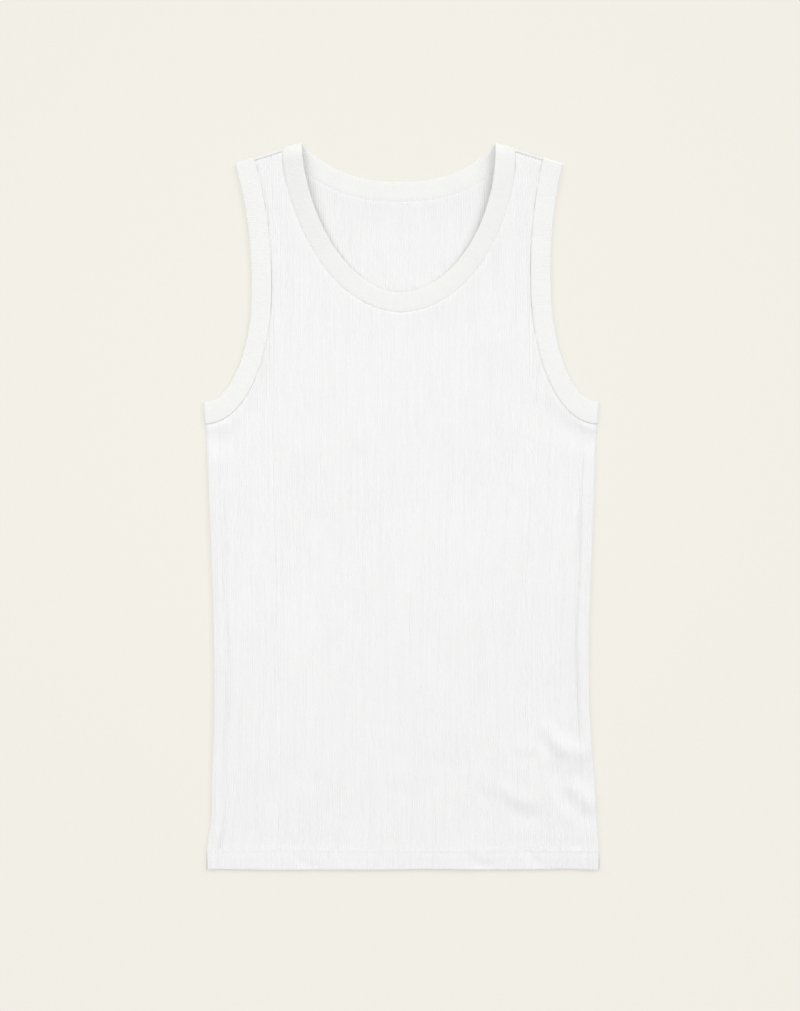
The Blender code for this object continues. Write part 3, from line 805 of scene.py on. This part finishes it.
def band_cloth(name, stations, material):
    """A closed band: the section carried along its stations, and turned round the folds.

    A point is the share of the way from seam to free edge, plus its way out along the station's
    facing, which turns from up to down through a fold. Ribs across the band raise its outer face.
    """
    even = even_stations(stations)
    share = SECTION[None, :, 0, None]
    rib = (rib_wave(even["phase"]) - 0.5)[:, None] * BAND_RIB
    size = 1.0 + 0.3 * np.sin(even["phase"] * 0.37)[:, None]
    edge = smooth(SECTION[None, :, 0] / 0.08)
    out = SECTION[None, :, 1] + rib * size * np.sign(SECTION[None, :, 1]) * edge
    turn = even["turn"][:, None]
    plan = even["seam"][:, None] + (even["free"] - even["seam"])[:, None] * share
    end = smooth((SECTION[None, :, 0] - 0.93) / 0.07) * rib
    way = even["free"] - even["seam"]
    way = way / np.linalg.norm(way, axis=1, keepdims=True)
    plan = plan + way[:, None] * end[:, :, None]
    plan = plan + even["toward"][:, None] * ((FOLD_RADIUS + out) * np.sin(turn))[:, :, None]
    height = even["seam_z"][:, None] + (even["free_z"] - even["seam_z"])[:, None] * share[..., 0]
    height = height + out * np.cos(turn)
    points = lay(plan[..., 0], plan[..., 1], height)
    rows, columns = points.shape[:2]
    around = np.concatenate([[0.0], np.cumsum(np.abs(np.diff(SECTION[:, 0])) * BAND_WIDTH + 0.0002)])
    rib_place = np.repeat(even["phase"][:, None], columns, axis=1)
    uv = np.stack([rib_place, np.repeat(around[None] / COURSE, rows, axis=0)], axis=-1)
    faces = grid_faces(rows, columns, close_rows=True, close_columns=True)
    flat = points.reshape(-1, 3)
    corner = flat[faces]
    volume = (corner[:, 0] * np.cross(corner[:, 1], corner[:, 2])).sum()
    volume += (corner[:, 0] * np.cross(corner[:, 2], corner[:, 3])).sum()
    if volume < 0:
        faces = faces[:, ::-1]
    last = around[-1] + BAND_HALF
    trip = (rows / COLUMNS_PER_RIB, last / COURSE)
    piece = mesh_object(name, flat, faces, uv.reshape(-1, 2), trip)
    piece.data.materials.append(material)
    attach(piece, "root")
    return piece, even["run"]


BAND_KNIT = knit_material(
    "white rib cotton band",
    light=(0.880, 0.887, 0.864),
    shade=(0.74, 0.745, 0.72),
    # groove: the tone's fall in the grooves between the ribs, which is painted shade
    groove=0.12,
    mottle=0.16,
    loop_height=0.00008,
)


def fold_turn(count=14):
    """Angles round a fold from its front to its back, without the two ends."""
    return np.linspace(0.0, math.pi, count)[1:-1]


def neck_stations():
    """Stations round the whole neck: half the front, the right fold, the back, and so on to the left.

    turn is the way that the band faces, from 0 for up to half a turn for down, and toward is the way
    in which a fold bulges.
    """
    free, seam, _ = neck_band_lines(FRONT_NECK)
    back_free, back_seam, _ = neck_band_lines(BACK_NECK)
    turn = np.linspace(0.0, 1.0, len(free))
    fold = fold_turn()
    ones = np.ones(len(fold))
    swing = (BAND_MID - BACK_BAND_MID) / 2 * np.cos(fold) + (BAND_MID + BACK_BAND_MID) / 2
    half = {
        "free": np.concatenate([free, free[-1] * ones[:, None], back_free[::-1]]),
        "seam": np.concatenate([seam, seam[-1] * ones[:, None], back_seam[::-1]]),
        "free_z": np.concatenate(
            [along(NECK_LIFT, "free", turn), swing, np.full(len(back_free), BACK_BAND_MID)]
        ),
        "seam_z": np.concatenate(
            [along(NECK_LIFT, "seam", turn), swing, np.full(len(back_free), BACK_BAND_MID)]
        ),
        "turn": np.concatenate([0.0 * turn, fold, np.full(len(back_free), math.pi)]),
        "toward": np.tile((0.0, -1.0), (len(free) + len(fold) + len(back_free), 1)),
    }
    whole = {}
    for name, values in half.items():
        other = values[::-1].copy()
        if name in ("free", "seam"):
            other[:, 0] *= -1
        whole[name] = np.concatenate([values, other[1:]])
    return whole


neck_band, neck_length = band_cloth("neck_band", neck_stations(), BAND_KNIT)
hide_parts("neck_binding")


# Armhole bands: the same folded strip of white rib cotton, sewn round each armhole. It turns over the
# shoulder fold and round the side fold at the underarm, and its seam is a crisp groove.

SEAM_LEFT_OUT = 3  # points of the seam's end, about 1.5 mm, that make room for the side fold
UNDERARM_WAY = (0.06, -1.0)
UNDERARM_WIDER = 0.10


def armhole_stations(hand):
    """Stations round one armhole: up the front, the shoulder fold, down the back, the underarm fold."""
    seam = ARM_SEAM[SEAM_LEFT_OUT:]
    normal = ARM_NORMAL[SEAM_LEFT_OUT:]
    place = np.linspace(0.0, 1.0, len(seam))
    near_underarm = smooth(1.0 - place / 0.30)[:, None]
    near_shoulder = smooth((place - 0.84) / 0.16)[:, None]
    shoulder_way = np.array((1.0, SHOULDER_SLOPE)) / math.hypot(1.0, SHOULDER_SLOPE)
    underarm_way = np.array(UNDERARM_WAY) / math.hypot(*UNDERARM_WAY)
    across = (1 - near_underarm - near_shoulder) * normal
    across = across + near_underarm * underarm_way + near_shoulder * shoulder_way
    across /= np.linalg.norm(across, axis=1, keepdims=True)
    width = BAND_WIDTH * (1 + UNDERARM_WIDER * near_underarm)
    free = seam + across * width / (across * normal).sum(axis=1, keepdims=True)
    fold = fold_turn()
    ones = np.ones((len(fold), 1))
    swing = (BAND_MID - BACK_BAND_MID) / 2 * np.cos(fold) + (BAND_MID + BACK_BAND_MID) / 2
    height = np.concatenate(
        [np.full(len(seam), BAND_MID), swing, np.full(len(seam), BACK_BAND_MID), swing[::-1], [BAND_MID]]
    )
    up = np.tile((0.0, -1.0), (len(seam) + len(fold) + len(seam), 1))
    out = np.tile((1.0, 0.0), (len(fold) + 1, 1))
    made = {
        "free": np.concatenate([free, free[-1] * ones, free[::-1], free[0] * ones, free[:1]]),
        "seam": np.concatenate([seam, seam[-1] * ones, seam[::-1], seam[0] * ones, seam[:1]]),
        "free_z": height,
        "seam_z": height,
        "turn": np.concatenate(
            [np.zeros(len(seam)), fold, np.full(len(seam), math.pi), fold[::-1], [0.0]]
        ),
        "toward": np.concatenate([up, out]),
    }
    for name in ("free", "seam", "toward"):
        made[name] = made[name] * (hand, 1.0)
    return made


for hand, side in ((1, "right"), (-1, "left")):
    band, band_length = band_cloth(f"armhole_band_{side}", armhole_stations(hand), BAND_KNIT)
    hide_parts(f"armhole_binding_{side}")


# Hem stitching: two rows of short, tight stitches in soft white cotton thread, which hold the
# turned-up hem of the front and of the back. They lie on the ribs and draw the cloth in.

STITCH_PITCH = 0.0030
STITCH_LENGTH = 0.92 * STITCH_PITCH
ROW_INSET = 0.004  # of a row's ends from the panel's sides
THREAD = 0.00022  # radius of the thread, and how far a stitch's ends sink into the cloth


def thread_material():
    """Soft white thread, with its ply as a fine slanting relief, and painted shade in the ply's low
    parts.
    """
    made = bpy.data.materials.new("white thread")
    made.use_nodes = True
    nodes = made.node_tree.nodes
    links = made.node_tree.links
    shader = nodes["Principled BSDF"]
    shader.inputs["Roughness"].default_value = 0.7
    place = nodes.new("ShaderNodeTexCoord")
    ply = nodes.new("ShaderNodeTexWave")
    ply.bands_direction = "DIAGONAL"
    ply.inputs["Scale"].default_value = 900.0
    links.new(place.outputs["Object"], ply.inputs["Vector"])
    # the ramp darkens the ply where its relief is lowest: painted shade between the plies
    ramp = nodes.new("ShaderNodeValToRGB")
    ramp.color_ramp.elements[0].color = (0.78, 0.78, 0.77, 1)
    ramp.color_ramp.elements[1].color = (0.88, 0.88, 0.87, 1)
    links.new(ply.outputs["Fac"], ramp.inputs["Fac"])
    links.new(ramp.outputs["Color"], shader.inputs["Base Color"])
    bump = nodes.new("ShaderNodeBump")
    bump.inputs["Distance"].default_value = 0.00005
    links.new(ply.outputs["Fac"], bump.inputs["Height"])
    links.new(bump.outputs["Normal"], shader.inputs["Normal"])
    return made


THREAD_COTTON = thread_material()


def stitch_row(hem_height, surface, facing):
    """Places of a row's stitches in even steps: across, drop, and height on the cloth's ribs."""
    half = along(SIDES, "half_width", LENGTH - hem_height) - ROW_INSET
    count = math.floor(half / STITCH_PITCH)
    middle = np.arange(-count, count + 1) * STITCH_PITCH
    drop = np.full(len(middle), LENGTH - hem_height)
    return middle, drop, surface(middle, drop) + facing * RIB_DEPTH * 0.5


def stitches(name, rows, facing):
    """Stitches as one mesh: each is five rings of six points, with its radius and sink from its length.

    The radius falls as the fourth power towards both ends, and the sink grows as the square.
    """
    along_stitch = np.linspace(-1.0, 1.0, 5)
    around = np.linspace(0.0, math.tau, 6, endpoint=False)
    across, drop, height = (np.concatenate(part) for part in zip(*rows))
    radius = THREAD * np.sqrt(np.maximum(1.0 - along_stitch**4, 0.04))
    x = across[:, None, None] + (along_stitch * STITCH_LENGTH / 2)[None, :, None] + 0 * around
    y = drop[:, None, None] + radius[None, :, None] * np.cos(around)
    sink = THREAD * along_stitch**2
    z = height[:, None, None] + facing * (radius[None, :, None] * np.sin(around) - sink[None, :, None])
    points = lay(x, y, z)
    count, rings, sides = x.shape
    one = grid_faces(rings, sides, close_columns=True)
    faces = (one[None] + np.arange(count)[:, None, None] * rings * sides).reshape(-1, 4)
    caps = []
    for ring in (0, rings - 1):
        index = ring * sides + np.arange(sides)
        caps.append(np.stack([index[[0, 1, 2, 3]], index[[0, 3, 4, 5]]]))
    caps[0] = caps[0][:, ::-1]
    caps = np.concatenate(caps)
    faces = np.concatenate(
        [faces, (caps[None] + np.arange(count)[:, None, None] * rings * sides).reshape(-1, 4)]
    )
    piece = mesh_object(name, points.reshape(-1, 3), faces)
    piece.data.materials.append(THREAD_COTTON)
    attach(piece, "root")
    return piece


back_rows = [stitch_row(hem, back_surface, -1) for hem in HEM_ROWS]
back_stitches = stitches("back_hem_stitches", back_rows, -1)
front_rows = [stitch_row(hem, front_surface, 1) for hem in HEM_ROWS]
front_stitches = stitches("front_hem_stitches", front_rows, 1)


# Ground, light and camera: plain pale paper, which glows a little so that shadows on it stay faint.
# The light is soft and from all round, with three wide suns, from beyond both shoulders and from
# beyond the hem, and a lamp overhead. The camera has a long lens and looks straight down.

GROUND_HALF = 12.0
corners = [(-GROUND_HALF, -GROUND_HALF, 0), (GROUND_HALF, -GROUND_HALF, 0)]
corners += [(GROUND_HALF, GROUND_HALF, 0), (-GROUND_HALF, GROUND_HALF, 0)]
ground_mesh = bpy.data.meshes.new("ground")
ground_mesh.from_pydata(corners, [], [(0, 1, 2, 3)])
ground = bpy.data.objects.new("ground", ground_mesh)
bpy.context.scene.collection.objects.link(ground)
paper = bpy.data.materials.new("pale paper")
paper.use_nodes = True
for socket, value in (
    ("Base Color", (0.331, 0.321, 0.297, 1)),
    ("Emission Color", (0.540, 0.525, 0.486, 1)),
    ("Emission Strength", 1.0),
    ("Roughness", 1.0),
    ("Specular IOR Level", 0.0),
):
    paper.node_tree.nodes["Principled BSDF"].inputs[socket].default_value = value
ground_mesh.materials.append(paper)

world = bpy.data.worlds.new("studio")
world.use_nodes = True
world.node_tree.nodes["Background"].inputs["Color"].default_value = (1.0, 1.0, 1.0, 1)
world.node_tree.nodes["Background"].inputs["Strength"].default_value = 0.51
bpy.context.scene.world = world

SUN_WIDTH = math.radians(38)
for name, strength, tilt_along, tilt_across in (
    ("left", 0.97, -29, -42),
    ("right", 1.18, -29, 42),
    ("low", 0.18, 50, 0),
):
    sun_data = bpy.data.lights.new(f"softbox_{name}", "SUN")
    sun_data.energy = strength
    sun_data.angle = SUN_WIDTH
    sun = bpy.data.objects.new(f"softbox_{name}", sun_data)
    sun.rotation_euler = (math.radians(tilt_along), math.radians(tilt_across), 0)
    bpy.context.scene.collection.objects.link(sun)

lamp_data = bpy.data.lights.new("softbox_above", "AREA")
lamp_data.energy = 0.95
lamp_data.size = 0.6
lamp = bpy.data.objects.new("softbox_above", lamp_data)
lamp.location = (-0.05, 0.12, 0.9)
lamp.visible_camera = False
bpy.context.scene.collection.objects.link(lamp)

bpy.context.scene.view_settings.view_transform = "Standard"

VIEW_HEIGHT = 1.011  # of the ground that the view takes in, from its foot to its head
camera_data = bpy.data.cameras.new("camera")
camera_data.lens = 85
camera_data.sensor_width = 36
camera = bpy.data.objects.new("camera", camera_data)
camera.location = (-0.003, 0.0, VIEW_HEIGHT * camera_data.lens / camera_data.sensor_width)
bpy.context.scene.collection.objects.link(camera)
bpy.context.scene.camera = camera
